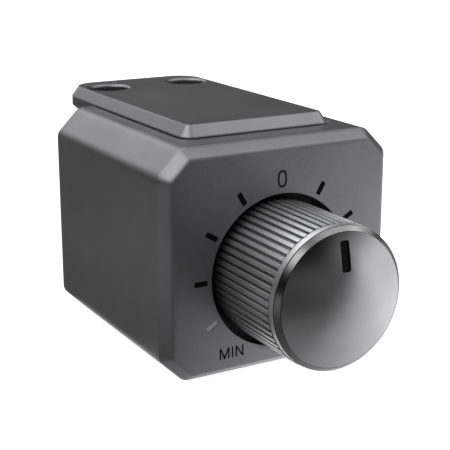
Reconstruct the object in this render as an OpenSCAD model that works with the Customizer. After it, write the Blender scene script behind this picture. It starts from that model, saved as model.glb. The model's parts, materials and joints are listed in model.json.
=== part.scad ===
// Hand-turned remote level control in a small eight-sided case.
// Millimetres. The origin is the centre of the case's flat underside,
// +X to the right of the scale, +Y to the rear, +Z up.

/* [Case] */
// width of the case
body_w = 40; // [36:0.5:50]
// length of the case from its front face to its rear rim
body_l = 39.4; // [38:0.2:50]
// height of the case without the plate on its roof
body_h = 35.8; // [34:0.2:45]
// leg of the flat cut along each long corner
corner_cut = 4; // [2.5:0.1:5]
// radius of the front face's corners, inside the bevel
face_r = 0.6; // [0.1:0.1:1]
// thickness of the sides and the floor
wall = 2.4; // [1.6:0.1:3]
// thickness of the roof, which holds the plate's pocket
roof_t = 4.4; // [4:0.1:6]
// thickness of the front wall, which holds the sunk ring
front_t = 5; // [4.5:0.1:7]
// width on the face of the bevel around the front edge
bevel_w = 1.4; // [0.6:0.1:2]
// depth of the same bevel along the sides
bevel_d = 1.8; // [0.6:0.1:2.5]

/* [Scale] */
// distance from the sunk ring to the scale marks
mark_gap = 0.7; // [0.3:0.1:1]
// length of a scale mark
mark_l = 2.2; // [1:0.1:2.5]
// width of a scale mark
mark_w = 0.85; // [0.5:0.05:1.2]
// radius of a scale mark's corners
mark_corner = 0.22; // [0.05:0.01:0.24]
// depth of a scale mark
mark_d = 0.4; // [0.2:0.05:0.8]
// angle between scale marks
mark_pitch = 30; // [10:5:30]
// marks on each side of the zero
mark_count = 4; // [1:1:4]

/* [Knob] */
// diameter of the disc and of the smooth band behind it
knob_d = 21.5; // [18:0.1:22]
// height of the knurl's ribs above the band
rib_rise = 0.15; // [0.06:0.01:0.24]
// height of the knob's axis above the underside
axis_z = 15.5; // [15:0.1:20]
// reach of the knob's flat rim in front of the face
knob_reach = 15.8; // [12:0.1:20]
// height of the domed front above the rim
dome_h = 1.5; // [0.5:0.1:2]
// chamfer on the front rim
rim_cut = 0.65; // [0.3:0.05:1]
// number of grooves in the knurl
groove_n = 60; // [30:2:80]
// width of a groove between its upright walls
groove_w = 0.44; // [0.2:0.02:0.5]
// depth of a groove below the ribs
groove_d = 0.27; // [0.2:0.01:0.6]
// chamfer along both edges of a groove
groove_edge = 0.06; // [0.02:0.01:0.1]
// distance from the flat rim to the ends of the ribs
band_w = 2; // [1.2:0.1:4]
// width of the parting line behind the disc
parting = 0.2; // [0.1:0.05:0.4]
// gap between the knurl and the wall of the sunk ring
ring_gap = 1.15; // [0.5:0.05:2]
// depth of the sunk ring in the face around the knob
sunk_depth = 2.4; // [1.5:0.1:3]
// width of the pointer slot
pointer_w = 1.5; // [0.8:0.1:2]
// length of the pointer slot
pointer_l = 4.4; // [2:0.1:6]
// distance from the pointer slot to the edge of the disc
pointer_gap = 1.2; // [0.5:0.1:3]
// depth of the pointer's bar below the disc's surface
pointer_sink = 0.25; // [0:0.05:0.4]

/* [Plate] */
// distance from the edge of the flat roof to the plate's side
plate_side = 2.9; // [1:0.1:5]
// distance from the face to the plate's front edge
plate_front = 6.4; // [3:0.1:10]
// height of the plate above the roof
plate_rise = 1.9; // [1.8:0.1:3]
// depth of the plate's pocket in the roof
plate_sunk = 1.9; // [1:0.1:2]
// inward step of the bevel around the plate's top
plate_bevel = 1.2; // [0.4:0.1:2]
// height of the same bevel
plate_bevel_h = 1.7; // [0.4:0.1:1.8]
// radius of the plate's top at its front corners, inside the bevel
plate_front_r = 0.8; // [0.2:0.1:3]
// radius of the plate's top at its rear corners, inside the bevel
plate_rear_r = 4.2; // [0.2:0.1:6]
// gap around the plate in its pocket
plate_gap = 0.3; // [0.1:0.05:0.5]

/* [Mounting holes] */
// distance from the plate's side to a mounting hole
hole_side = 5.5; // [5.2:0.1:8]
// distance from the case's rear rim to the mounting holes
hole_back = 6.1; // [4:0.1:10]
// reach of the plate's ear behind the mounting holes
ear_end = 8.2; // [5.5:0.1:12]
// diameter of the screw's hole
hole_d = 4.3; // [3:0.1:5]
// diameter of the recess for the screw's head
head_recess_d = 7; // [6:0.1:7.2]
// depth of that recess
head_recess_depth = 2.2; // [1:0.1:2.6]
// chamfer at the recess's mouth
mouth_cut = 0.35; // [0.1:0.05:0.4]

/* [Shaft and potentiometer] */
// diameter of the shaft
shaft_d = 6; // [6:0.05:6.35]
// running clearance of the shaft in its bush, on the radius
shaft_play = 0.05; // [0.02:0.01:0.1]
// distance from the axis to the flat on the shaft
flat_at = 1.5; // [1:0.1:2.5]
// diameter of the threaded bush
bush_d = 7; // [7:0.1:8]
// reach of the bush in front of the face
bush_reach = 1.5; // [0.5:0.1:2]
// size of the bush's nut across its flats
nut_af = 10; // [9:0.5:12]
// diameter of the potentiometer
pot_d = 16.4; // [15:0.1:17]
// depth of the potentiometer behind the front wall
pot_l = 9; // [8:0.1:12]
// half angle of the stop lug and of the fixed stop
stop_half = 14.5; // [10:0.5:20]

/* [Board and socket] */
// thickness of the circuit board
board_t = 1.6; // [1:0.1:2]
// gap between the circuit board and the potentiometer
board_gap = 0.7; // [0.5:0.1:1.5]
// width of the cable socket's mouth
mouth_w = 9.9; // [9:0.1:12]
// height of the socket's mouth
mouth_h = 6.8; // [6:0.1:7.5]
// depth of the socket's mouth
mouth_l = 12.4; // [10:0.1:14]
// thickness of the socket's side walls
socket_wall = 1.05; // [0.6:0.05:1.5]
// pitch of the spring contacts
contact_pitch = 1.27; // [1:0.01:2]

/* [Rear cover] */
// thickness of the rear cover
cover_t = 2.4; // [1.5:0.1:3]
// depth of the cover's face inside the rear rim
cover_sunk = 0.3; // [0:0.1:1]
// diameter of the cover's screws
cover_screw_d = 2.5; // [2:0.1:3]
// diameter of the screws that hold the plate
plate_screw_d = 3; // [2.5:0.1:3]

/* [Hidden] */
$fn = 96;

case_grey = [0.27, 0.27, 0.28];
knob_grey = [0.36, 0.36, 0.37];
disc_grey = [0.55, 0.55, 0.57];
black = [0.05, 0.05, 0.05];
steel = [0.72, 0.72, 0.74];
brass = [0.8, 0.65, 0.35];
board_green = [0.1, 0.35, 0.2];
phenolic = [0.45, 0.3, 0.18];

// Gaps: between loose neighbours, between a screw and its hole, and past a cut.
gap = 0.25;
fit_gap = 0.05;
past = 1;

// Hollow of the case, whose corners keep the wall's thickness.
hollow_w = body_w - 2 * wall;
hollow_h = body_h - wall - roof_t;
hollow_cut = corner_cut - wall * (2 - sqrt(2));
hollow_top = body_h - roof_t;
cover_out = body_l - cover_sunk;
cover_in = cover_out - cover_t;
edge_r = face_r + bevel_w;

// Posts that take the cover's screws, in the corners of the hollow.
post_r = 2.5;
post_in = 3.3;
post_x = hollow_w / 2 - post_in;
post_z = [wall + post_in, hollow_top - post_in];
post_web = 1.2;
post_depth = 11;
screw_end = 2;
screw_head_r = 2.3;
screw_head_h = screw_head_r - cover_screw_d / 2;
cross_w = 0.6;
cross_l = 2.6;
cross_d = 0.6;

// Plate on the roof, and the screws that hold it from inside.
plate_w = body_w - 2 * corner_cut - 2 * plate_side;
plate_rear = body_l + hole_back + ear_end;
plate_low = body_h - plate_sunk;
plate_top = body_h + plate_rise;
plate_under = plate_bevel / 2;
hole_x = plate_w / 2 - hole_side;
hole_y = body_l + hole_back;
plate_screw_in = 7.5;
plate_screw_y = [plate_front + plate_screw_in, body_l - plate_screw_in];
plate_skin = 1.5;
plate_screw_l = roof_t + plate_rise - plate_skin;
pan_r = 2.7;
pan_h = 1.6;

// Circuit board, under the potentiometer, and the grooved ribs that hold it.
board_z = axis_z - pot_d / 2 - board_gap - board_t;
board_top = board_z + board_t;
board_w = 2 * (post_x - post_r - gap);
board_y = [front_t + gap, cover_in - gap];
rib_grip = 0.9;
rib_t = 2.2;
rib_lip = 1.4;
rib_in = board_w / 2 - rib_grip;
rib_top = board_top + rib_lip;

// Potentiometer, from the front wall to the rear.
pot_plate = 1.2;
pot_skin = 0.35;
pot_back = 0.5;
pot_end = front_t + pot_l - pot_back;
wafer_y = front_t + pot_plate;
wafer_t = 1.2;
wafer_r = pot_d / 2 - pot_skin - fit_gap;
blade_w = 0.8;
blade_t = 0.5;
blade_pitch = 5;
blade_y = wafer_y + wafer_t;
blade_hole_r = 0.6;
blade_side = 1.6;
tongue_w = 2 * (blade_pitch + blade_side);
tongue_gap = 0.4;
tail_l = 0.6;
tail_z = board_z - tail_l;
tab_w = 2.5;
tab_l = 1.4;
tab_h = 1.4;
tab_in = 2;
tab_z = axis_z + pot_d / 2 - tab_in;

// Shaft's collar and spigot, and the carrier that turns on them behind the wafer.
turn_gap = 0.2;
end_gap = 0.1;
collar_step = 0.9;
collar_r = shaft_d / 2 + collar_step;
collar_t = 1.6;
wafer_bore = collar_r + turn_gap;
collar_y = wafer_y + end_gap;
hub_y = collar_y + collar_t;
spigot_step = 0.8;
spigot_r = shaft_d / 2 - spigot_step;
back_gap = 1;
spigot_end = pot_end - back_gap;
blade_gap = 0.4;
carrier_y = blade_y + blade_t + blade_gap;
carrier_gap = 1.2;
carrier_r = wafer_r - carrier_gap;
carrier_hub_t = 1.2;
carrier_hub_r = spigot_r + carrier_hub_t;
blade_end = 0.5;
blade_top = axis_z - carrier_r - blade_end;
stop_l = (pot_end - carrier_y) / 2;
stop_gap = 0.6;
carrier_t = stop_l - stop_gap;
lug_gap = 0.9;
lug_l = stop_l - lug_gap;
lug_t = 1.8;
lug_r = [carrier_r - turn_gap - lug_t, carrier_r - turn_gap];
wiper_t = 0.2;
wiper_edge = 0.6;
wiper_in = carrier_hub_r + turn_gap;
wiper_out = carrier_r - wiper_edge;
contact_r = 0.4;
contact_at = wiper_out - wiper_edge;
contact_gap = 0.1;

// Washer, nut and clip on the bush.
washer_edge = 0.6;
washer_r = nut_af / 2 + washer_edge;
washer_t = 0.5;
nut_t = 2;
clip_t = 0.6;
clip_y = -bush_reach - clip_t - end_gap;
clip_bite = 0.45;
clip_edge = 1.3;
clip_in = shaft_d / 2 - clip_bite;
clip_out = shaft_d / 2 + clip_edge;
clip_mouth = 3;

// Knob, measured from the face; negative is in front.
knob_r = knob_d / 2;
knurl_r = knob_r + rib_rise;
knob_lift = 1;
knob_back = sunk_depth - knob_lift;
rim_y = -knob_reach;
cap_y = rim_y + rim_cut;
sleeve_y = cap_y + parting;
band_y = rim_y + band_w;
rim_r = knob_r - rim_cut;
dome_r = (rim_r * rim_r + dome_h * dome_h) / (2 * dome_h);
dome_y = rim_y - dome_h + dome_r;
skirt_t = 1.75;
cap_wall = 1.2;
cap_t = 2.4;
web_t = 1.5;
web_front = rim_y + cap_t;
web_back = web_front + web_t;
cap_spigot_r = knob_r - cap_wall;
hub_t = 2;
hub_r = shaft_d / 2 + hub_t;
hub_gap = 0.4;
hub_back = clip_y - hub_gap;
shaft_front = web_back - end_gap;
flat_end = 1.4;
flat_back = hub_back - flat_end;
knob_rib_t = 1;
knob_rib_gap = 3.4;
knob_rib_back = hub_back - knob_rib_gap;
leaf_w = 3.6;
leaf_t = 0.3;
leaf_l = 6;
leaf_gap = 0.5;
leaf_back = flat_back - leaf_gap;
leaf_front = leaf_back - leaf_l;
sunk_r = knurl_r + ring_gap;
mark_r = sunk_r + mark_gap;
pointer_out = rim_r - pointer_gap;
pointer_in = pointer_out - pointer_l;
pointer_corner = 0.35;
slot_d = 0.4;
slot_floor = rim_y + slot_d;

// Socket on the board, from the rear rim inwards.
socket_floor = 2.8;
socket_roof = 0.8;
socket_back = 4.5;
latch_w = 6.2;
latch_h = 1.3;
socket_w = mouth_w + 2 * socket_wall;
socket_h = socket_floor + mouth_h + latch_h + socket_roof;
socket_l = mouth_l + socket_back;
socket_y = body_l - socket_l;
mouth_y = body_l - mouth_l;
mouth_z = board_top + socket_floor;
contact_w = 0.45;
contact_t = 0.35;
contact_slot_w = contact_w + gap;
contact_tail = 1.9;
contact_tail_y = socket_y + contact_tail;
contact_hole_r = 0.42;
contact_run = 1.25;
contact_run_z = board_top + contact_run;
contact_front = 3.5;
contact_bend_y = body_l - contact_front;
contact_tip = 2.7;
contact_tip_y = mouth_y + contact_tip;
contact_lift = 2;
contact_tip_z = mouth_z + contact_lift;
slot_end = 0.5;
contact_slot_y = [contact_tail_y - slot_end, contact_bend_y + slot_end];
contact_x = [for (i = [-1.5:1:1.5]) i * contact_pitch];
peg_r = 1;
peg_side = 2;
peg_back = 6;
peg_x = socket_w / 2 - peg_side;
peg_y = mouth_y + peg_back;

// Small parts on the board, in a row between the potentiometer and the socket.
row_y = (front_t + pot_l + socket_y) / 2;
chip_w = 1.6;
chip_l = 3.2;
chip_h = 0.6;
chip_pitch = 2.4;
cap_r = 2;
cap_h = 7.5;
cap_gap = 0.8;
cap_x = chip_pitch + chip_w / 2 + cap_gap + cap_r;
lead_r = 0.25;
lead_x = 1;

// Moves a shape that is measured from the front face into the part's frame.
module placed() {
    translate([0, -body_l / 2, 0]) children();
}

// Round bar or tube on the knob's axis, from y0 to y1.
module bar(y0, y1, r, bore = 0) {
    translate([0, y0, axis_z]) rotate([-90, 0, 0]) difference() {
        cylinder(h = y1 - y0, r = r);
        if (bore > 0) translate([0, 0, -past]) cylinder(h = y1 - y0 + 2 * past, r = bore);
    }
}

// Cone on the knob's axis, of radius r0 at y0 and r1 at y1.
module taper(y0, y1, r0, r1) {
    translate([0, y0, axis_z]) rotate([-90, 0, 0]) cylinder(h = y1 - y0, r1 = r0, r2 = r1);
}

// Prism of an outline in X and Z, from y0 to y1.
module along_y(y0, y1, points) {
    translate([0, y1, 0]) rotate([90, 0, 0]) linear_extrude(height = y1 - y0) polygon(points);
}

// Prism of an outline in Y and Z, centred on x, of width w.
module along_x(x, w, points) {
    translate([x - w / 2, 0, 0]) rotate([90, 0, 90]) linear_extrude(height = w) polygon(points);
}

// Outline of a w by h rectangle with its corners cut, standing on z.
function cut_outline(w, h, cut, z) = [
    [-w / 2 + cut, z], [w / 2 - cut, z], [w / 2, z + cut], [w / 2, z + h - cut],
    [w / 2 - cut, z + h], [-w / 2 + cut, z + h], [-w / 2, z + h - cut], [-w / 2, z + cut]
];

// Outer shape of the case: a core, eight sides and eight rounded edges, which all carry the bevel.
module case_block() {
    profile = [[0, 0], [face_r, 0], [edge_r, bevel_d], [edge_r, body_l], [0, body_l]];
    corners = cut_outline(body_w, body_h, corner_cut, 0);
    centres = [for (i = [0:7]) corners[i] - edge_r / cos(22.5) * edge_way(i)];
    along_y(0, body_l, [for (i = [0:7]) centres[i] + gap * edge_way(i)]);
    for (i = [0:7]) {
        side = centres[(i + 1) % 8] - centres[i];
        translate([centres[i][0], 0, centres[i][1]]) rotate([0, 90 - 45 * i, 0])
            linear_extrude(height = norm(side)) polygon(profile);
        translate([centres[i][0], 0, centres[i][1]]) rotate([-90, 0, 0])
            rotate([0, 0, 90 - 45 * i]) rotate_extrude(angle = 45) polygon(profile);
    }
}

// Direction from the middle of the case out through one of its eight edges.
function edge_way(i) = [cos(45 * i - 112.5), sin(45 * i - 112.5)];

// Bar with rounded corners, w wide, that points away from the origin from r[0] to r[1].
module round_bar(w, r, corner, y0, y1) {
    half = w / 2 - corner;
    ends = [r[0] + corner, r[1] - corner];
    translate([0, y0, 0]) {
        translate([-w / 2, 0, ends[0]]) cube([w, y1 - y0, ends[1] - ends[0]]);
        translate([-half, 0, r[0]]) cube([2 * half, y1 - y0, r[1] - r[0]]);
        for (x = [-half, half], z = ends)
            translate([x, 0, z]) rotate([-90, 0, 0]) cylinder(h = y1 - y0, r = corner, $fn = 32);
    }
}

// Sunk mark in the face, pointing at the knob's axis.
module scale_mark(angle) {
    translate([0, 0, axis_z]) rotate([0, angle, 0])
        round_bar(mark_w, [mark_r, mark_r + mark_l], mark_corner, -past, mark_d);
}

// Cutter for an upright corner: all that lies outside a round outline on the axis (x, y).
module upright_corner(x, y, side, end, r, outline) {
    reach = r + past;
    low = outline[0][1] + past;
    translate([x, y, 0]) difference() {
        translate([side > 0 ? 0 : -reach, end > 0 ? 0 : -reach, low])
            cube([reach, reach, outline[len(outline) - 1][1] - past - low]);
        rotate_extrude() polygon(outline);
    }
}

// Pocket for the plate, open to the rear.
module plate_pocket() {
    half = plate_w / 2 + plate_gap;
    r = plate_front_r + plate_bevel + plate_gap;
    front = plate_front - plate_gap;
    difference() {
        translate([-half, front, plate_low])
            cube([2 * half, body_l + past - front, plate_sunk + past]);
        for (side = [-1, 1]) upright_corner(side * (half - r), front + r, side, -1, r,
            [[0, plate_low - 2 * past], [r, plate_low - 2 * past],
             [r, plate_top + 2 * past], [0, plate_top + 2 * past]]);
    }
}

// Triangle that bevels an edge at (at, z), w along the flat and h down the side.
function edge_cut(at, side, z, w, h) =
    [[at - side * 2 * w, z + h], [at + side * w, z - 2 * h], [at + side * w, z + h]];

// Cutters for the plate's edges: the bevel above, the chamfer below and the four round corners.
module plate_edges() {
    half = plate_w / 2;
    for (edge = [[plate_top, plate_bevel, plate_bevel_h], [plate_low, plate_under, -plate_under]]) {
        for (side = [-1, 1]) along_y(plate_front - past, plate_rear + past,
                                     edge_cut(side * half, side, edge[0], edge[1], edge[2]));
        along_x(0, plate_w + 2 * past, edge_cut(plate_front, -1, edge[0], edge[1], edge[2]));
        along_x(0, plate_w + 2 * past, edge_cut(plate_rear, 1, edge[0], edge[1], edge[2]));
    }
    for (corner = [[plate_front, -1, plate_front_r], [plate_rear, 1, plate_rear_r]], side = [-1, 1]) {
        r = corner[2] + plate_bevel;
        upright_corner(side * (half - r), corner[0] - corner[1] * r, side, corner[1], r,
            [[0, plate_low - 2 * past], [r - plate_under, plate_low - 2 * past], [r - plate_under, plate_low],
             [r, plate_low + plate_under], [r, plate_top - plate_bevel_h], [corner[2], plate_top],
             [corner[2], plate_top + 2 * past], [0, plate_top + 2 * past]]);
    }
}

// Puts a shape at each of the cover's four screws, its Z axis pointing to the rear.
module at_cover_screws(y) {
    for (x = [-post_x, post_x], z = post_z)
        translate([x, y, z]) rotate([-90, 0, 0]) children();
}

// Posts, each with two webs that tie it to the nearest walls.
module posts() {
    at_cover_screws(front_t - fit_gap) cylinder(h = cover_in - front_t + fit_gap, r = post_r);
    for (side = [-1, 1], z = post_z) {
        low = z == post_z[0];
        translate([side > 0 ? post_x : -hollow_w / 2 - fit_gap, front_t - fit_gap, z - post_web / 2])
            cube([hollow_w / 2 - post_x + fit_gap, cover_in - front_t + fit_gap, post_web]);
        translate([side * post_x - post_web / 2, front_t - fit_gap, low ? wall - fit_gap : z])
            cube([post_web, cover_in - front_t + fit_gap, post_in + fit_gap]);
    }
}

// Two floor ribs, each with a groove for an edge of the board.
module board_ribs() {
    for (side = [0, 1]) mirror([side, 0, 0]) difference() {
        translate([rib_in, front_t - fit_gap, wall - fit_gap])
            cube([rib_t, cover_in - front_t + fit_gap, rib_top - wall + fit_gap]);
        translate([rib_in - past, front_t, board_z])
            cube([board_w / 2 + gap - rib_in + past, cover_in, board_t + gap]);
    }
}

module housing() {
    color(case_grey) placed() difference() {
        union() {
            difference() {
                case_block();
                along_y(front_t, body_l + past, cut_outline(hollow_w, hollow_h, hollow_cut, wall));
            }
            posts();
            board_ribs();
        }
        bar(-past, sunk_depth, sunk_r);
        bar(0, front_t + past, bush_d / 2 + 2 * fit_gap);
        translate([-tab_w / 2 - gap, front_t - tab_l - gap, tab_z - gap])
            cube([tab_w + 2 * gap, tab_l + gap + past, tab_h + 2 * gap]);
        for (i = [1:mark_count], side = [-1, 1]) scale_mark(side * i * mark_pitch);
        plate_pocket();
        for (y = plate_screw_y) translate([0, y, hollow_top - past])
            cylinder(h = roof_t, r = plate_screw_d / 2 + fit_gap);
        at_cover_screws(cover_in - post_depth)
            cylinder(h = post_depth + past, r = cover_screw_d / 2 + fit_gap, $fn = 48);
    }
}

module rear_cover() {
    color(case_grey) placed() difference() {
        along_y(cover_in, cover_out,
                cut_outline(hollow_w - 2 * gap, hollow_h - 2 * gap, hollow_cut, wall + gap));
        translate([-socket_w / 2 - gap, cover_in - past, board_top - gap])
            cube([socket_w + 2 * gap, cover_t + 2 * past, socket_h + 2 * gap]);
        at_cover_screws(cover_in - past)
            cylinder(h = cover_t + 2 * past, r = cover_screw_d / 2 + fit_gap, $fn = 48);
        at_cover_screws(cover_out - screw_head_h)
            cylinder(h = screw_head_h, r1 = cover_screw_d / 2 + fit_gap, r2 = screw_head_r + fit_gap, $fn = 48);
    }
}

// Crossed slots of a screw's drive, cut downwards from z.
module cross(z) {
    for (turn = [0, 90]) rotate([0, 0, turn])
        translate([-cross_l / 2, -cross_w / 2, z - cross_d]) cube([cross_l, cross_w, cross_d + past]);
}

module cover_screws() {
    shank = cover_t + post_depth - screw_end;
    color(steel) placed() at_cover_screws(cover_out - shank) difference() {
        union() {
            cylinder(h = shank, r = cover_screw_d / 2, $fn = 48);
            translate([0, 0, shank - screw_head_h])
                cylinder(h = screw_head_h, r1 = cover_screw_d / 2, r2 = screw_head_r, $fn = 48);
        }
        cross(shank);
    }
}

module mounting_bracket() {
    color(case_grey) placed() difference() {
        translate([-plate_w / 2, plate_front, plate_low])
            cube([plate_w, plate_rear - plate_front, plate_top - plate_low]);
        plate_edges();
        for (side = [-1, 1]) translate([side * hole_x, hole_y, 0]) {
            translate([0, 0, plate_low - past])
                cylinder(h = plate_top - plate_low + 2 * past, r = hole_d / 2);
            translate([0, 0, plate_top - head_recess_depth])
                cylinder(h = head_recess_depth + past, r = head_recess_d / 2);
            translate([0, 0, plate_top - mouth_cut])
                cylinder(h = mouth_cut, r1 = head_recess_d / 2, r2 = head_recess_d / 2 + mouth_cut);
        }
        for (y = plate_screw_y) translate([0, y, plate_low - past])
            cylinder(h = plate_top - plate_skin - plate_low + gap + past, r = plate_screw_d / 2 + fit_gap);
    }
}

module bracket_screws() {
    color(steel) placed() for (y = plate_screw_y) translate([0, y, hollow_top]) difference() {
        union() {
            cylinder(h = plate_screw_l, r = plate_screw_d / 2, $fn = 48);
            translate([0, 0, -pan_h]) cylinder(h = pan_h, r = pan_r, $fn = 48);
        }
        mirror([0, 0, 1]) cross(pan_h);
    }
}

module circuit_board() {
    color(board_green) placed() difference() {
        translate([-board_w / 2, board_y[0], board_z])
            cube([board_w, board_y[1] - board_y[0], board_t]);
        for (x = contact_x) board_hole(x, contact_tail_y + contact_t / 2, contact_hole_r);
        for (i = [-1:1]) board_hole(i * blade_pitch, blade_y + blade_t / 2, blade_hole_r);
        for (side = [-1, 1]) {
            board_hole(side * peg_x, peg_y, peg_r + fit_gap);
            for (end = [-1, 1]) board_hole(side * cap_x + end * lead_x, row_y, lead_r + fit_gap);
        }
    }
}

module board_hole(x, y, r) {
    translate([x, y, board_z - past]) cylinder(h = board_t + 2 * past, r = r, $fn = 32);
}

module cable_socket() {
    color(black) placed() {
        difference() {
            translate([-socket_w / 2, socket_y, board_top]) cube([socket_w, socket_l, socket_h]);
            translate([-mouth_w / 2, mouth_y, mouth_z]) cube([mouth_w, mouth_l + past, mouth_h]);
            translate([-latch_w / 2, mouth_y, mouth_z]) cube([latch_w, mouth_l + past, mouth_h + latch_h]);
            for (x = contact_x) translate([x - contact_slot_w / 2, contact_slot_y[0], board_top - past])
                cube([contact_slot_w, contact_slot_y[1] - contact_slot_y[0], socket_floor + 2 * past]);
        }
        for (side = [-1, 1]) translate([side * peg_x, peg_y, board_z])
            cylinder(h = board_t + fit_gap, r = peg_r, $fn = 48);
    }
}

module socket_contacts() {
    bend = contact_bend_y;
    run = contact_run_z;
    color(brass) placed() for (x = contact_x) along_x(x, contact_w, [
        [contact_tail_y, tail_z], [contact_tail_y + contact_t, tail_z],
        [contact_tail_y + contact_t, run], [bend, run], [bend, run + contact_t],
        [contact_tip_y, contact_tip_z], [contact_tip_y - contact_t, contact_tip_z - contact_t],
        [bend - 2 * contact_t, run + contact_t], [contact_tail_y, run + contact_t]
    ]);
}

module board_capacitors() {
    color(black) placed() for (side = [-1, 1]) translate([side * cap_x, row_y, board_top]) {
        cylinder(h = cap_h, r = cap_r);
        for (end = [-1, 1]) translate([end * lead_x, 0, tail_z - board_top])
            cylinder(h = board_top - tail_z + fit_gap, r = lead_r, $fn = 24);
    }
}

module board_resistors() {
    color(black) placed() for (i = [-1:1])
        translate([i * chip_pitch - chip_w / 2, row_y - chip_l / 2, board_top]) cube([chip_w, chip_l, chip_h]);
}

module potentiometer_bush() {
    color(steel) placed() difference() {
        union() {
            bar(front_t, front_t + pot_plate, pot_d / 2);
            bar(-bush_reach, front_t + fit_gap, bush_d / 2);
            translate([-tab_w / 2, front_t - tab_l, tab_z]) cube([tab_w, tab_l + fit_gap, tab_h]);
        }
        bar(-bush_reach - past, front_t + pot_plate + past, shaft_d / 2 + shaft_play);
    }
}

module bush_nut() {
    face = sunk_depth - washer_t;
    color(steel) placed() difference() {
        translate([0, face - nut_t, axis_z]) rotate([-90, 0, 0])
            cylinder(h = nut_t, r = nut_af / sqrt(3), $fn = 6);
        bar(face - nut_t - past, face + past, bush_d / 2 + fit_gap);
    }
}

module lock_washer() {
    color(steel) placed() bar(sunk_depth - washer_t, sunk_depth, washer_r, bush_d / 2 + fit_gap);
}

module resistor_wafer() {
    foot = board_top + tongue_gap;
    color(phenolic) placed() difference() {
        union() {
            bar(wafer_y, wafer_y + wafer_t, wafer_r);
            translate([-tongue_w / 2, wafer_y, foot])
                cube([tongue_w, wafer_t, axis_z - wafer_bore - past - foot]);
        }
        bar(wafer_y - past, wafer_y + wafer_t + past, wafer_bore);
    }
}

module wafer_terminals() {
    color(steel) placed() for (i = [-1:1]) translate([i * blade_pitch - blade_w / 2, blade_y, tail_z])
        cube([blade_w, blade_t, blade_top - tail_z]);
}

// Sector of a ring on the knob's axis, half the angle to each side of turn.
module sector(y0, y1, r, half, turn) {
    translate([0, y0, axis_z]) rotate([0, turn, 0]) rotate([-90, 0, 0]) rotate([0, 0, -90 - half])
        rotate_extrude(angle = 2 * half) translate([r[0], 0]) square([r[1] - r[0], y1 - y0]);
}

module potentiometer_case() {
    cut_w = tongue_w / 2 + gap;
    color(steel) placed() {
        difference() {
            bar(wafer_y, pot_end + pot_back, pot_d / 2);
            bar(wafer_y - past, pot_end, pot_d / 2 - pot_skin);
            translate([-cut_w, wafer_y - past, axis_z - pot_d])
                cube([2 * cut_w, past + wafer_t + blade_t + gap, pot_d - wafer_bore]);
        }
        sector(pot_end - stop_l, pot_end + fit_gap, lug_r, stop_half, 180);
    }
}

module shaft() {
    color(steel) placed() difference() {
        union() {
            bar(shaft_front, collar_y + fit_gap, shaft_d / 2);
            bar(collar_y, hub_y, collar_r);
            bar(hub_y - fit_gap, spigot_end, spigot_r);
        }
        translate([-shaft_d, shaft_front - past, axis_z - flat_at - shaft_d])
            cube([2 * shaft_d, flat_back - shaft_front + past, shaft_d]);
        difference() {
            bar(clip_y, clip_y + clip_t, shaft_d);
            bar(clip_y - past, clip_y + clip_t + past, clip_in - fit_gap);
        }
    }
}

module shaft_clip() {
    color(steel) placed() difference() {
        bar(clip_y, clip_y + clip_t, clip_out, clip_in);
        translate([-clip_mouth / 2, clip_y - past, axis_z]) cube([clip_mouth, clip_t + 2 * past, shaft_d]);
    }
}

module wiper_carrier() {
    color(black) placed() difference() {
        union() {
            bar(carrier_y, carrier_y + carrier_t, carrier_r);
            bar(hub_y, spigot_end - past, carrier_hub_r);
            sector(carrier_y + carrier_t - fit_gap, carrier_y + carrier_t + lug_l, lug_r, stop_half, 0);
        }
        bar(hub_y - past, spigot_end + past, spigot_r + fit_gap);
    }
}

module wiper_spring() {
    front = carrier_y - wiper_t;
    color(brass) placed() {
        bar(front, carrier_y, wiper_out, wiper_in);
        for (side = [-1, 1]) translate([side * contact_at, blade_y + contact_gap, axis_z]) rotate([-90, 0, 0])
            cylinder(h = front - blade_y - contact_gap + fit_gap, r = contact_r, $fn = 32);
    }
}

// One groove of the knurl, from behind the knob to its square end, just inside the smooth band.
module groove() {
    half = groove_w / 2;
    flank = half + 2 * groove_edge;
    translate([0, knob_back + past, knurl_r]) rotate([90, 0, 0])
        linear_extrude(height = knob_back + past - band_y + fit_gap)
            polygon([[-flank, groove_edge], [flank, groove_edge], [half, -groove_edge],
                     [half, -groove_d], [-half, -groove_d], [-half, -groove_edge]]);
}

module knob() {
    bore = knob_r - skirt_t;
    color(knob_grey) placed() difference() {
        union() {
            difference() {
                union() {
                    bar(sleeve_y, band_y + fit_gap, knob_r);
                    bar(band_y, knob_back, knurl_r);
                }
                translate([0, 0, axis_z]) for (i = [0:groove_n - 1])
                    rotate([0, i * 360 / groove_n, 0]) groove();
                bar(web_back, knob_back + past, bore);
                bar(sleeve_y - past, web_front, cap_spigot_r + fit_gap);
            }
            bar(web_back - fit_gap, hub_back, hub_r);
            for (turn = [0:90:270]) translate([0, 0, axis_z]) rotate([0, turn + 45, 0])
                translate([-knob_rib_t / 2, web_back - fit_gap, hub_r - fit_gap])
                    cube([knob_rib_t, knob_rib_back - web_back + fit_gap, bore - hub_r + 2 * fit_gap]);
        }
        difference() {
            bar(shaft_front - gap, hub_back + past, shaft_d / 2 + fit_gap);
            translate([-shaft_d, shaft_front - past, axis_z - flat_at - leaf_t - 2 * fit_gap - shaft_d])
                cube([2 * shaft_d, flat_back - shaft_front + past, shaft_d]);
        }
    }
}

// The pointer slot, from y0 to y1, less a gap all around.
module pointer_bar(y0, y1, less = 0) {
    translate([0, 0, axis_z])
        round_bar(pointer_w - 2 * less, [pointer_in + less, pointer_out - less], pointer_corner - less, y0, y1);
}

// Ball that the disc's domed front is a part of, less a depth.
module dome_ball(depth = 0) {
    translate([0, dome_y, axis_z]) rotate([90, 0, 0]) sphere(r = dome_r - depth, $fn = 200);
}

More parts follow.
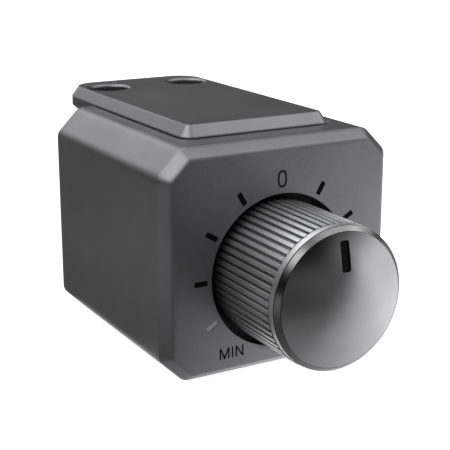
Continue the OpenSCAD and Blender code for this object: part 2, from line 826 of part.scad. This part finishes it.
module knob_cap() {
    color(disc_grey) placed() difference() {
        union() {
            bar(cap_y - fit_gap, web_front, cap_spigot_r);
            taper(rim_y, cap_y, rim_r, knob_r);
            intersection() {
                bar(rim_y - dome_h - past, rim_y + fit_gap, rim_r);
                dome_ball();
            }
        }
        pointer_bar(rim_y - dome_h - past, slot_floor);
    }
}

module pointer_inlay() {
    color(black) placed() intersection() {
        pointer_bar(rim_y - dome_h, slot_floor, fit_gap);
        dome_ball(pointer_sink);
    }
}

module knob_spring() {
    color(steel) placed() translate([-leaf_w / 2, leaf_front, axis_z - flat_at - fit_gap - leaf_t])
        cube([leaf_w, leaf_l, leaf_t]);
}

housing();
rear_cover();
cover_screws();
mounting_bracket();
bracket_screws();
circuit_board();
cable_socket();
socket_contacts();
board_capacitors();
board_resistors();
potentiometer_bush();
bush_nut();
lock_washer();
resistor_wafer();
wafer_terminals();
potentiometer_case();
shaft();
shaft_clip();
wiper_carrier();
wiper_spring();
knob();
knob_cap();
pointer_inlay();
knob_spring();
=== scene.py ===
import json
import math

import bmesh
import bpy
from mathutils import Matrix, Vector


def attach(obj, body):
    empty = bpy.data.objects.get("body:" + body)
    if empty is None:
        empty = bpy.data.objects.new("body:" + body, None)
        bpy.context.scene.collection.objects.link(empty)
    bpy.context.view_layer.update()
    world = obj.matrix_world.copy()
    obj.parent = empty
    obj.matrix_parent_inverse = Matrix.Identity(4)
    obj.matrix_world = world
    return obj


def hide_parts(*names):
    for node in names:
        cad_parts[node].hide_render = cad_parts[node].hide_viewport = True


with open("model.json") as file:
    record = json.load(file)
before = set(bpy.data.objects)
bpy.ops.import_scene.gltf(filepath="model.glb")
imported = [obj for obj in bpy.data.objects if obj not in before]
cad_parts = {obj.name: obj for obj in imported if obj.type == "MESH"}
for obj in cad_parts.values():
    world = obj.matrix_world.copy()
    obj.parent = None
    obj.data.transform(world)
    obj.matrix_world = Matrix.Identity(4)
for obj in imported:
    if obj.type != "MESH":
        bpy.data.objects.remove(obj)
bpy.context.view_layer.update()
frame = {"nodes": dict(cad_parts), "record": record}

NODES = frame["nodes"]
MM = 0.001

# ---------------------------------------------------------------- sizes, in mm
FACE_Y = -19.7                      # plane of the case's front face
AXIS_Z = 15.5                       # height of the knob's axis
PIT_R = 12.02                       # radius of the ring sunk in the face, inside which the case is painted black as shade
PIT_BACK = (3.0, 4.0)               # depths behind the face over which that painted shade fades out

KNOB_R = 10.75
RIM_Y = FACE_Y - 15.8               # plane of the knob's flat rim
RIM_CUT = 0.65                      # chamfer on that rim
RIM_LINE = (0.09, 0.16)             # width and depth of the fine turned line inside the chamfer
RIM_EDGE = 0.01                     # small cut behind the chamfer, at the parting line
DOME_H = 1.5                        # height of the dome in front of the rim
DOME_STEPS = 28
TURNED_STEPS = 192
SPIGOT_R = 9.55                     # radius of the disc's rear part, inside the sleeve
SPIGOT_BACK = FACE_Y - 13.4
POINTER = (4.5, 8.9, 1.5, 0.35)     # inner and outer radius, width and corner radius of its slot
SLOT_FRONT = RIM_Y - DOME_H - 1.0
SLOT_FLOOR = FACE_Y - 15.4

MARK_R = 12.75                      # radius of a scale mark's inner end
MARK_L = 2.2
MARK_W = 0.85
MARK_CORNER = 0.22
MARK_STEP = 30                      # degrees from mark to mark
MARKS_A_SIDE = 4
# The engraved marks hold painted shading: black sheets as painted shade in the slots, and in the last mark on
# each side a grey sheet as a painted lit floor.
SHADING_GAP = 0.01                     # between a mark's painted shading and its sides
SHADING_BOTTOM = 0.38                  # depth below the face of the painted shading's rear side
SHADING_TOP = 0.05                     # depth of its front side
LAST_SHADING_TOP = 0.16                # the same in the last mark on each side, whose grey is a painted lit floor
CRISP_RADIUS = (15.3, 15.8)         # inside the first the case's edges are crisp, outside the second soft
CRISP_HEIGHT = (3.5, 4.5)           # but below the first height they are soft at any radius

ZERO = (1.62, 2.65, 0.3)            # width, height and stroke of the 0
ZERO_UP = 14.27                     # height of its middle above the axis
WORD_AT = (8.66, 3.82)              # middle of MAX; MIN mirrors it
LETTER = (1.75, 0.26, 0.40)         # height, stroke and spacing
INK_BOTTOM, INK_TOP = 0.02, -0.012  # depths of the printed words' two sides
FLOOR_GAP = 0.02                    # from the underside to the studio's floor


# ---------------------------------------------------------------- camera
CAMERA_LENS = 91.77                     # focal length in mm, on a sensor 36 mm wide
CAMERA_FROM = (-29.518, 15.913)         # azimuth and elevation that it looks from
CAMERA_AT = (-89.20, -159.91, 69.93)    # its place, in mm


def aim(azimuth, elevation):
    """Unit vector from the object towards a direction: 0 is the front, plus is to its right."""
    a, e = math.radians(azimuth), math.radians(elevation)
    return Vector((math.sin(a) * math.cos(e), -math.cos(a) * math.cos(e), math.sin(e)))


def facing(back):
    """Rotation of a camera or lamp whose rear points that way, kept upright."""
    right = Vector((0, 0, 1)).cross(back).normalized()
    return Matrix((right, back.cross(right), back)).transposed().to_4x4()


def add_object(name, data):
    obj = bpy.data.objects.new(name, data)
    bpy.context.scene.collection.objects.link(obj)
    return obj


def make_camera():
    """Camera at the photograph's place, with its angle of view."""
    data = bpy.data.cameras.new("photo_camera")
    data.sensor_width = 36.0
    data.lens = CAMERA_LENS
    data.clip_start = 0.01
    data.clip_end = 50.0
    cam = add_object("photo_camera", data)
    cam.matrix_world = Matrix.Translation(Vector(CAMERA_AT) * MM) @ facing(aim(*CAMERA_FROM))
    bpy.context.scene.camera = cam


# ---------------------------------------------------------------- node helpers
def feed(tree, socket, value):
    """Sets a socket to a number or a colour, or links an output to it."""
    if isinstance(value, (int, float)):
        socket.default_value = value
    elif isinstance(value, tuple):
        socket.default_value = (*value, 1.0)
    else:
        tree.links.new(value, socket)


def calc(tree, op, *values):
    """Output of a Math node on one or two numbers or outputs."""
    node = tree.nodes.new("ShaderNodeMath")
    node.operation = op
    for socket, value in zip(node.inputs, values):
        feed(tree, socket, value)
    return node.outputs[0]


def rescale(tree, value, start, end, low=0.0, high=1.0):
    """Goes from low to high as the value goes from start to end, and stays level outside."""
    node = tree.nodes.new("ShaderNodeMapRange")
    for name, number in (("From Min", start), ("From Max", end), ("To Min", low), ("To Max", high)):
        node.inputs[name].default_value = number
    tree.links.new(value, node.inputs["Value"])
    return node.outputs["Result"]


def shade(tone, factor):
    return tuple(c * factor for c in tone)


# ---------------------------------------------------------------- materials
SPREAD = (0.3, 0.7)         # most of a noise lies between these values


class Nodes:
    """One material and the node tree that is built for it."""

    def __init__(self, name):
        self.mat = bpy.data.materials.new(name)
        self.mat.use_nodes = True
        self.tree = self.mat.node_tree
        self.tree.nodes.clear()
        out = self.add("ShaderNodeOutputMaterial")
        self.bsdf = self.add("ShaderNodeBsdfPrincipled")
        self.link(self.bsdf.outputs["BSDF"], out.inputs["Surface"])
        self.coord = self.add("ShaderNodeTexCoord").outputs["Object"]

    def add(self, kind, **props):
        node = self.tree.nodes.new(kind)
        for key, value in props.items():
            setattr(node, key, value)
        return node

    def link(self, output, socket):
        self.tree.links.new(output, socket)

    def place(self):
        """X, Y and Z of the shaded point, in metres."""
        split = self.add("ShaderNodeSeparateXYZ")
        self.link(self.coord, split.inputs[0])
        return [split.outputs[axis] for axis in "XYZ"]

    def radius(self):
        """Distance of the shaded point from the knob's axis, in metres."""
        x, _, z = self.place()
        z = self.math("SUBTRACT", z, AXIS_Z * MM)
        squares = [self.math("MULTIPLY", v, v) for v in (x, z)]
        return self.math("SQRT", self.math("ADD", *squares))

    def noise(self, scale, detail=3.0, rough=0.55, stretch=None, offset=0.0):
        source = self.coord
        if stretch or offset:
            move = self.add("ShaderNodeMapping")
            if stretch:
                move.inputs["Scale"].default_value = stretch
            move.inputs["Location"].default_value = (offset, offset, offset)
            self.link(source, move.inputs["Vector"])
            source = move.outputs["Vector"]
        node = self.add("ShaderNodeTexNoise")
        node.inputs["Scale"].default_value = scale
        node.inputs["Detail"].default_value = detail
        node.inputs["Roughness"].default_value = rough
        self.link(source, node.inputs["Vector"])
        return node.outputs["Fac"]

    def ramp(self, noise, dark, light):
        """Colour of a noise, from its dark spots to its light ones."""
        node = self.add("ShaderNodeValToRGB")
        for stop, position, tone in zip(node.color_ramp.elements, SPREAD, (dark, light)):
            stop.position = position
            stop.color = (*tone, 1.0)
        self.link(noise, node.inputs["Fac"])
        return node.outputs["Color"]

    def span(self, value, low, high, source=(0.0, 1.0)):
        return rescale(self.tree, value, *source, low, high)

    def math(self, op, *values):
        return calc(self.tree, op, *values)

    def mix(self, fac, first, second):
        node = self.add("ShaderNodeMix", data_type="RGBA")
        for index, value in ((0, fac), (6, first), (7, second)):
            feed(self.tree, node.inputs[index], value)
        return node.outputs[2]

    def bump(self, height, strength, distance, under=None):
        """Normal with a bump of that distance in mm, laid over the normal under it."""
        node = self.add("ShaderNodeBump")
        node.inputs["Strength"].default_value = strength
        node.inputs["Distance"].default_value = distance * MM
        self.link(height, node.inputs["Height"])
        if under is not None:
            self.link(under, node.inputs["Normal"])
        return node.outputs["Normal"]

    def rounded(self, radius):
        """Normal that makes edges look rounded to a radius in mm.
        Around the knob it is left out, so that the scale's marks and the sunk ring stay crisp."""
        node = self.add("ShaderNodeBevel", samples=6)
        node.inputs["Radius"].default_value = radius * MM
        inner, outer = CRISP_RADIUS
        outside = self.span(self.radius(), 0.0, 1.0, (inner * MM, outer * MM))
        low, high = CRISP_HEIGHT
        below = self.span(self.place()[2], 0.0, 1.0, (high * MM, low * MM))
        blend = self.add("ShaderNodeMix", data_type="VECTOR")
        self.link(self.math("MAXIMUM", outside, below), blend.inputs[0])
        self.link(self.add("ShaderNodeNewGeometry").outputs["Normal"], blend.inputs[4])
        self.link(node.outputs["Normal"], blend.inputs[5])
        return blend.outputs[1]

    def set(self, **values):
        """Feeds the surface shader and gives back the material."""
        names = {"base": "Base Color", "rough": "Roughness", "metal": "Metallic", "normal": "Normal",
                 "spec": "Specular IOR Level"}
        for key, value in values.items():
            feed(self.tree, self.bsdf.inputs[names[key]], value)
        return self.mat


def moulded(name, rough, soft, pit=None):
    """Charcoal metallic finish on a moulding: fine grain, faint mottling and lighter flecks.
    Its edges look soft by so many mm. Inside the radius of a pit in the front it is painted black, as shade
    in the sunk ring."""
    n = Nodes(name)
    mottle = n.noise(90.0, detail=4.0, rough=0.6)
    grain = n.noise(5200.0, detail=2.0, rough=0.6)
    base = n.ramp(mottle, shade(CASE_TONE, 0.9), shade(CASE_TONE, 1.1))
    base = n.mix(n.span(grain, 0.0, 0.25, (0.35, 0.75)), base, shade(CASE_TONE, 1.7))
    if pit:
        near, far = PIT_BACK
        inside = n.span(n.radius(), 0.0, 1.0, ((pit + 0.04) * MM, pit * MM))
        front = n.span(n.place()[1], 0.0, 1.0, ((FACE_Y + far) * MM, (FACE_Y + near) * MM))
        # painted shade: near black inside the sunk ring, fading out behind the face
        base = n.mix(n.math("MULTIPLY", inside, front), base, PIT_SHADE)
    gloss = n.math("ADD", n.span(grain, rough - 0.05, rough + 0.05, SPREAD), n.span(mottle, -0.03, 0.03))
    normal = n.bump(grain, 0.32, 0.06, n.rounded(soft))
    normal = n.bump(n.noise(900.0, detail=2.0), 0.05, 0.2, normal)
    return n.set(base=base, rough=gloss, normal=normal, metal=0.9)


def turned(name, tone, rough, rings=0.0, dark=None):
    """Turned metal: fine rings about the knob's axis and a soft variation of gloss.
    dark gives the radius where a darker part, painted shade, starts, the one where it is full, and its tone."""
    n = Nodes(name)
    cloud = n.noise(160.0)
    base = n.ramp(cloud, shade(tone, 0.94), shade(tone, 1.06))
    # painted shade: a darker tone by radius from the knob's axis
    if dark:
        start, full, level = dark
        part = n.span(n.radius(), 0.0, 1.0, (start * MM, full * MM))
        base = n.mix(part, base, (level, level, level))
    if rings:
        wave = n.math("SINE", n.math("MULTIPLY", n.radius(), 2 * math.pi / (RING_PITCH * MM)))
        normal = n.bump(n.math("MULTIPLY", wave, n.noise(2500.0, detail=2.0)), rings, 0.01)
    else:
        normal = n.bump(n.noise(4000.0, detail=2.0), 0.05, 0.04)
    gloss = n.span(cloud, rough - 0.03, rough + 0.03, SPREAD)
    return n.set(base=base, rough=gloss, metal=1.0, normal=normal)


def plain_metal(name, tone, rough, stretch=(1.0, 1.0, 1.0)):
    """Metal with fine grain or brushing, and patches where it is duller and darker."""
    n = Nodes(name)
    brush = n.noise(1800.0, rough=0.6, stretch=stretch)
    base = n.ramp(n.noise(240.0, offset=3.0), shade(tone, 0.85), tone)
    gloss = n.span(brush, rough - 0.06, rough + 0.08, SPREAD)
    return n.set(base=base, rough=gloss, metal=1.0, normal=n.bump(brush, 0.12, 0.03))


def plain_plastic(name, tone, rough, scale=1500.0, bump=0.1, spec=0.5):
    """Moulded, glazed or printed surface with fine grain and slight mottling."""
    n = Nodes(name)
    grain = n.noise(scale)
    base = n.ramp(n.noise(120.0), shade(tone, 0.88), shade(tone, 1.12))
    gloss = n.span(grain, rough - 0.05, rough + 0.05, SPREAD)
    return n.set(base=base, rough=gloss, spec=spec, normal=n.bump(grain, bump, 0.03))


CASE_TONE = (0.160, 0.160, 0.166)
# near black of the painted shade in the sunk ring round the knob
PIT_SHADE = (0.006, 0.006, 0.006)
RING_PITCH = 0.12           # mm between the rings of turned work
MATERIALS = {
    "case_plastic": moulded("case_plastic", 0.40, 1.1, pit=PIT_R),
    "plate_plastic": moulded("plate_plastic", 0.38, 0.35),
    "screw_steel": plain_metal("screw_steel", (0.10, 0.10, 0.105), 0.38),
    "board_laminate": plain_plastic("board_laminate", (0.01, 0.09, 0.04), 0.3, 2500.0, 0.15),
    "socket_plastic": plain_plastic("socket_plastic", (0.018, 0.018, 0.019), 0.42),
    "contact_brass": plain_metal("contact_brass", (0.85, 0.66, 0.32), 0.22),
    "capacitor_sleeve": plain_plastic("capacitor_sleeve", (0.02, 0.02, 0.035), 0.25),
    "chip_black": plain_plastic("chip_black", (0.015, 0.015, 0.015), 0.25),
    "zinc_plate": plain_metal("zinc_plate", (0.62, 0.62, 0.6), 0.35),
    "nickel_plate": plain_metal("nickel_plate", (0.66, 0.64, 0.6), 0.28),
    "wafer_laminate": plain_plastic("wafer_laminate", (0.18, 0.09, 0.035), 0.45),
    "shaft_steel": plain_metal("shaft_steel", (0.56, 0.56, 0.57), 0.25, stretch=(1.0, 0.05, 1.0)),
    # painted shade: darker are the floors of the knurl's grooves, and on the disc its fine turned line, from
    # which the darker tone runs on over the chamfer
    "knob_sleeve": turned("knob_sleeve", (0.54, 0.54, 0.55), 0.42, dark=(10.67, 10.62, 0.04)),
    "knob_disc": turned("knob_disc", (0.32, 0.32, 0.33), 0.22, rings=0.12, dark=(10.02, 10.08, 0.165)),
    "pointer_black": plain_plastic("pointer_black", (0.003, 0.003, 0.003), 0.6, spec=0.1),
}
# painted light: grey of the lit floor in the last mark on each side
MARK_PAINTED_LIT_FLOOR = plain_plastic("mark_painted_lit_floor", (0.42, 0.42, 0.43), 0.5)
# black of the printed 0 and words, and of the painted shade in the engraved marks
INK_AND_SHADE = plain_plastic("scale_ink_and_shade", (0.002, 0.002, 0.002), 0.6, spec=0.05)


def dress_cad():
    """Gives every CAD node the material of its slot."""
    slots = {s["node"]: s["material_slot"] for s in frame["record"]["subparts"]}
    for name, obj in NODES.items():
        mat = MATERIALS[slots[name]]
        if obj.material_slots:
            for s in obj.material_slots:
                s.material = mat
        else:
            obj.data.materials.append(mat)


# ---------------------------------------------------------------- lettering and marks on the scale
def outline_piece(name, loops, mat, at, bottom, top):
    """Flat figure from closed loops in X and Z, in mm, laid in the face at (x, z).
    Bottom and top are the depths of its two sides below the face."""
    curve = bpy.data.curves.new(name, "CURVE")
    curve.dimensions = "2D"
    curve.fill_mode = "BOTH"
    curve.extrude = (bottom - top) / 2 * MM
    for loop in loops:
        spline = curve.splines.new("POLY")
        spline.points.add(len(loop) - 1)
        for point, (x, z) in zip(spline.points, loop):
            point.co = (x * MM, z * MM, 0.0, 1.0)
        spline.use_cyclic_u = True
    curve.materials.append(mat)
    obj = add_object(name, curve)
    middle = Vector((at[0], FACE_Y + (bottom + top) / 2, at[1]))
    obj.matrix_world = Matrix.Translation(middle * MM) @ Matrix.Rotation(math.radians(90), 4, "X")
    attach(obj, "case")


def oval(a, b, power=2.5, count=56):
    """Superellipse of half width a and half height b."""
    points = []
    for i in range(count):
        turn = 2 * math.pi * i / count
        waves = math.cos(turn), math.sin(turn)
        x, z = (math.copysign(abs(v) ** (2 / power), v) for v in waves)
        points.append((a * x, b * z))
    return points


def letter(ch, h, t):
    """(loops, width) of a plain capital of height h and stroke t, from its lower left corner."""
    if ch == "I":
        return [[(0, 0), (t, 0), (t, h), (0, h)]], t
    if ch == "N":
        w, d = 0.79 * h, t * 1.12
        return [[(0, 0), (t, 0), (t, h - 1.6 * t), (w - d, 0), (w, 0), (w, h), (w - t, h),
                 (w - t, 1.6 * t), (d, h), (0, h)]], w
    if ch == "M":
        w, d = 0.97 * h, t * 1.05
        m = w / 2
        return [[(0, 0), (t, 0), (t, h - 1.9 * t), (m - d / 2, 0), (m + d / 2, 0), (w - t, h - 1.9 * t),
                 (w - t, 0), (w, 0), (w, h), (w - d, h), (m, 1.9 * t), (d, h), (0, h)]], w
    if ch == "A":
        w, d = 0.86 * h, t * 1.1
        m = w / 2
        bar = 0.27 * h
        low, high = (d + (m - d / 2) * z / h for z in (bar, bar + t))
        return [[(0, 0), (d, 0), (low, bar), (w - low, bar), (w - d, 0), (w, 0),
                 (m + d / 2, h), (m - d / 2, h)],
                [(high, bar + t), (m, h - 1.7 * t), (w - high, bar + t)]], w
    w, d = 0.80 * h, t * 1.25          # X
    m, q = w / 2, h / 2
    return [[(0, 0), (d, 0), (m, q - 0.72 * d), (w - d, 0), (w, 0), (m + d / 2, q), (w, h), (w - d, h),
             (m, q + 0.72 * d), (d, h), (0, h), (m - d / 2, q)]], w


def word(text, middle):
    """A short word about the middle, a point (x, z) of the face."""
    height, stroke, space = LETTER
    letters = [letter(ch, height, stroke) for ch in text]
    total = sum(width for _, width in letters) + space * (len(letters) - 1)
    x = middle[0] - total / 2
    for i, (loops, width) in enumerate(letters):
        corner = (x, middle[1] - height / 2)
        outline_piece("scale_" + text.lower() + "_" + str(i), loops, INK_AND_SHADE, corner, INK_BOTTOM, INK_TOP)
        x += width + space


def round_loop(length, width, corner, count=6):
    """Outline of an upright bar with rounded corners, centred on the origin."""
    points = []
    for q in range(4):
        x = (width / 2 - corner) * (1 if q in (0, 3) else -1)
        z = (length / 2 - corner) * (1 if q < 2 else -1)
        for i in range(count + 1):
            a = math.pi / 2 * (q + i / count)
            points.append((x + corner * math.cos(a), z + corner * math.sin(a)))
    return points


def scale_marks():
    """The 0 and the words at the ends, which are print, and the painted shading in the engraved marks. It is
    black painted shade in most marks; the last mark on each side is grey, a painted lit floor."""
    width, height, stroke = ZERO
    nought = [oval(width / 2, height / 2), oval(width / 2 - stroke, height / 2 - stroke)]
    outline_piece("scale_zero", nought, INK_AND_SHADE, (0.0, AXIS_Z + ZERO_UP), INK_BOTTOM, INK_TOP)
    word("MIN", (-WORD_AT[0], WORD_AT[1]))
    word("MAX", WORD_AT)
    bar = round_loop(MARK_L - 2 * SHADING_GAP, MARK_W - 2 * SHADING_GAP, MARK_CORNER - SHADING_GAP)
    r = MARK_R + MARK_L / 2
    for side, sign in (("left", -1), ("right", 1)):
        for i in range(1, MARKS_A_SIDE + 1):
            a = math.radians(MARK_STEP * i * sign)
            c, s = math.cos(a), math.sin(a)
            loop = [(x * c + z * s, z * c - x * s) for x, z in bar]
            # painted shading: a grey painted lit floor in the last mark, black painted shade in the others
            mat, top = (MARK_PAINTED_LIT_FLOOR, LAST_SHADING_TOP) if i == MARKS_A_SIDE else (INK_AND_SHADE, SHADING_TOP)
            name = "mark_painted_shading_%s_%d" % (side, i)
            outline_piece(name, [loop], mat, (r * s, AXIS_Z + r * c), SHADING_BOTTOM, top)


# ---------------------------------------------------------------- the knob's turned disc
def lathe(profile, count=TURNED_STEPS):
    """Vertices and faces of a form turned about the knob's axis, whose ends lie on that axis.
    The profile's points are (radius, y) in mm, from the front round to the back."""
    verts, faces, rings = [], [], []
    for r, y in profile:
        steps = count if r > 0.0 else 1
        rings.append(range(len(verts), len(verts) + steps))
        for i in range(steps):
            a = 2 * math.pi * i / count
            verts.append((r * math.cos(a) * MM, y * MM, (AXIS_Z + r * math.sin(a)) * MM))
    for a, b in zip(rings, rings[1:]):
        for i in range(count):
            j = (i + 1) % count
            if len(a) == 1:
                faces.append((a[0], b[i], b[j]))
            elif len(b) == 1:
                faces.append((a[i], b[0], a[j]))
            else:
                faces.append((a[i], b[i], b[j], a[j]))
    return verts, faces


def prism(loop, up, front, back):
    """Vertices and faces of a bar that runs along Y, from its outline in X and Z, raised by so much."""
    verts = [(x * MM, y * MM, (up + z) * MM) for y in (front, back) for x, z in loop]
    n = len(loop)
    faces = [tuple(reversed(range(n))), tuple(range(n, 2 * n))]
    faces += [(i, (i + 1) % n, n + (i + 1) % n, n + i) for i in range(n)]
    return verts, faces


def solid(name, verts, faces):
    """Object with that closed mesh, whose faces all look outwards."""
    mesh = bpy.data.meshes.new(name)
    mesh.from_pydata(verts, [], faces)
    work = bmesh.new()
    work.from_mesh(mesh)
    bmesh.ops.recalc_face_normals(work, faces=work.faces)
    work.to_mesh(mesh)
    work.free()
    return add_object(name, mesh)


def disc_profile():
    """Dome, fine line, chamfer and spigot of the disc."""
    rim_r = KNOB_R - RIM_CUT
    ball = (rim_r ** 2 + DOME_H ** 2) / (2 * DOME_H)
    width, depth = RIM_LINE
    points = []
    for i in range(DOME_STEPS + 1):
        r = (rim_r - width) * i / DOME_STEPS
        points.append((r, RIM_Y - DOME_H + ball - math.sqrt(ball ** 2 - r ** 2)))
    back = RIM_Y + RIM_CUT
    return points + [
        (rim_r - width, RIM_Y + depth), (rim_r, RIM_Y + depth), (rim_r, RIM_Y),
        (KNOB_R - RIM_EDGE, back - RIM_EDGE), (KNOB_R - 2 * RIM_EDGE, back),
        (SPIGOT_R, back), (SPIGOT_R, SPIGOT_BACK), (0.0, SPIGOT_BACK)]


def turned_disc():
    """The disc with its slot, meshed finely as turned work, in place of the CAD node."""
    disc = solid("knob_disc_turned", *lathe(disc_profile()))
    low, high, width, corner = POINTER
    loop = round_loop(high - low, width, corner)
    tool = solid("slot_tool", *prism(loop, AXIS_Z + (low + high) / 2, SLOT_FRONT, SLOT_FLOOR))
    cut = disc.modifiers.new("slot", "BOOLEAN")
    cut.operation = "DIFFERENCE"
    cut.solver = "EXACT"
    cut.object = tool
    bpy.context.view_layer.update()
    mesh = bpy.data.meshes.new_from_object(disc.evaluated_get(bpy.context.evaluated_depsgraph_get()))
    disc.modifiers.clear()
    disc.data = mesh
    bpy.data.objects.remove(tool)
    for poly in mesh.polygons:
        poly.use_smooth = True
    mesh.set_sharp_from_angle(angle=math.radians(20))
    mesh.materials.clear()
    mesh.materials.append(MATERIALS["knob_disc"])
    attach(disc, "turning_knob")
    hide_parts("knob_cap")


# ---------------------------------------------------------------- edges
def crisp(node, angle):
    """Keeps the shading of a node's flats apart where they meet at more than the angle."""
    m = NODES[node].modifiers.new("crisp_edges", "EDGE_SPLIT")
    m.use_edge_angle = True
    m.use_edge_sharp = False
    m.split_angle = math.radians(angle)


def soften(node, width):
    """Small rounding, so many mm wide, on a moulding's sharp edges."""
    m = NODES[node].modifiers.new("soft_edges", "BEVEL")
    m.width = width * MM
    m.segments = 2
    m.limit_method = "ANGLE"
    m.angle_limit = math.radians(28)
    m.harden_normals = False
    m.use_clamp_overlap = True


# ---------------------------------------------------------------- studio
LIGHTS = [
    # name, azimuth, elevation, distance, width, height, radiance
    ("right_box", 70, 30, 0.45, 0.30, 0.20, 1.4),
]
LIT_POINT = (0.0, 0.0, 0.018)
WORLD = 0.60                # light of the surroundings on the object
GLOW = 0.85                 # the floor's own white, for the camera
FLOOR_SIZE = 6.0
FLOOR_TONE = (0.86, 0.86, 0.86)

# What metal and glass show of the studio: name, brightness and ramps. A ramp runs along a vector,
# from the value where it starts to the one where it is full. In the world the values belong to a
# direction, on the floor to a place in metres.
X, Y, Z = (1, 0, 0), (0, 1, 0), (0, 0, 1)
RIGHT_OF_KNOB = (0.77, 0.64, 0.0)
LOW, HIGH = (Z, 0.25, 0.05), (Z, 0.45, 0.65)
WALLS = [
    ("white_sweep", 0.16, [(Y, 0.0, 0.4), LOW]),
    ("right_wall", 1.41, [(X, 0.4, 0.8), (Y, 0.4, 0.0), LOW]),
    ("rear_wall", 1.75, [(Y, 0.0, 0.4), (X, 0.2, 0.0), (X, -0.6, -0.15), (Z, 0.05, 0.25), (Z, 0.65, 0.45)]),
    ("ceiling", 0.71, [HIGH]),
    ("ceiling_rear", 1.88, [(Y, 0.1, 0.3), (X, 0.45, 0.05), HIGH]),
    ("ceiling_left", 2.98, [(Y, 0.3, 0.1), (X, -0.2, -0.4), HIGH]),
    ("ceiling_right", 1.33, [(Y, 0.2, -0.1), (X, -0.1, 0.2), HIGH]),
]
GROUND = [
    ("floor", 0.10, []),
    ("floor_near", 0.27, [(Y, -0.080, -0.050), (X, -0.03, -0.01)]),
    ("floor_left", 0.42, [(X, -0.02, -0.06), (Y, 0.10, 0.03)]),
    ("floor_behind", 0.13, [(Y, 0.03, 0.10)]),
    ("floor_under", 0.63, [(X, -0.022, -0.020), (X, 0.022, 0.020), (Y, -0.02, 0.0), (Y, 0.022, 0.020)]),
    ("floor_ahead", 0.08, [(X, -0.01, 0.03), (Y, -0.01, -0.04)]),
    ("floor_right", 1.48, [(RIGHT_OF_KNOB, -0.033, -0.006), (Y, 0.0, -0.02)]),
]


def softbox(name, azimuth, elevation, distance, width, height, radiance):
    """Rectangular studio light that faces the object; radiance is that of its surface."""
    data = bpy.data.lights.new(name, "AREA")
    data.shape = "RECTANGLE"
    data.size, data.size_y = width, height
    data.energy = radiance * math.pi * width * height
    back = aim(azimuth, elevation)
    obj = add_object(name, data)
    obj.matrix_world = Matrix.Translation(Vector(LIT_POINT) + back * distance) @ facing(back)


def panels(tree, vector, rows):
    """Brightness along a vector: the sum of all panels, each its level times its ramps."""
    total = 0.0
    for _, level, ramps in rows:
        for along, start, full in ramps:
            dot = tree.nodes.new("ShaderNodeVectorMath")
            dot.operation = "DOT_PRODUCT"
            dot.inputs[1].default_value = along
            tree.links.new(vector, dot.inputs[0])
            level = calc(tree, "MULTIPLY", rescale(tree, dot.outputs["Value"], start, full), level)
        total = calc(tree, "ADD", level, total)
    return total


def rays(tree):
    """Flags of a ray: it comes from the camera, it comes from metal or glass."""
    path = tree.nodes.new("ShaderNodeLightPath").outputs
    return path["Is Camera Ray"], calc(tree, "MAXIMUM", path["Is Glossy Ray"], path["Is Transmission Ray"])


def emptied(owner):
    """Node tree of a new world or material, without its nodes."""
    owner.use_nodes = True
    owner.node_tree.nodes.clear()
    return owner.node_tree


def make_world():
    """White for the camera, the studio's panels for metal and glass, and soft light for the rest."""
    world = bpy.data.worlds.new("studio")
    bpy.context.scene.world = world
    tree = emptied(world)
    camera, mirror = rays(tree)
    shown = panels(tree, tree.nodes.new("ShaderNodeTexCoord").outputs["Generated"], WALLS)
    mirrored = calc(tree, "MULTIPLY", shown, mirror)
    ambient = calc(tree, "MULTIPLY", calc(tree, "SUBTRACT", 1.0, mirror), WORLD)
    sky = tree.nodes.new("ShaderNodeBackground")
    feed(tree, sky.inputs["Color"], (1.0, 1.0, 1.0))
    feed(tree, sky.inputs["Strength"], calc(tree, "MAXIMUM", calc(tree, "ADD", mirrored, ambient), camera))
    feed(tree, tree.nodes.new("ShaderNodeOutputWorld").inputs["Surface"], sky.outputs[0])


def shaders(tree, kind, *values):
    """Output of a shader node that is fed with the values in order."""
    node = tree.nodes.new(kind)
    for socket, value in zip(node.inputs, values):
        feed(tree, socket, value)
    return node.outputs[0]


def make_floor():
    """Pale floor that glows for the camera, and shows its panels in metal and glass.
    From below it is clear."""
    bpy.ops.mesh.primitive_plane_add(size=FLOOR_SIZE, location=(0, 0, -FLOOR_GAP * MM))
    floor = bpy.context.object
    floor.name = "studio_floor"
    mat = bpy.data.materials.new("studio_floor")
    tree = emptied(mat)
    camera, mirror = rays(tree)
    shown = panels(tree, tree.nodes.new("ShaderNodeTexCoord").outputs["Object"], GROUND)
    seen = calc(tree, "MAXIMUM", calc(tree, "MULTIPLY", shown, mirror), calc(tree, "MULTIPLY", camera, GLOW))
    glow = shaders(tree, "ShaderNodeEmission", (1.0, 1.0, 1.0), seen)
    matt = shaders(tree, "ShaderNodeBsdfDiffuse", FLOOR_TONE)
    top = shaders(tree, "ShaderNodeMixShader", mirror, shaders(tree, "ShaderNodeAddShader", matt, glow), glow)
    clear = shaders(tree, "ShaderNodeBsdfTransparent")
    below = tree.nodes.new("ShaderNodeNewGeometry").outputs["Backfacing"]
    surface = shaders(tree, "ShaderNodeMixShader", below, top, clear)
    feed(tree, tree.nodes.new("ShaderNodeOutputMaterial").inputs["Surface"], surface)
    floor.data.materials.append(mat)


make_camera()
dress_cad()
scale_marks()
turned_disc()
crisp("knob", 22)
soften("housing", 0.22)
soften("mounting_bracket", 0.15)
for row in LIGHTS:
    softbox(*row)
make_world()
make_floor()

bpy.context.scene.view_settings.view_transform = "Standard"
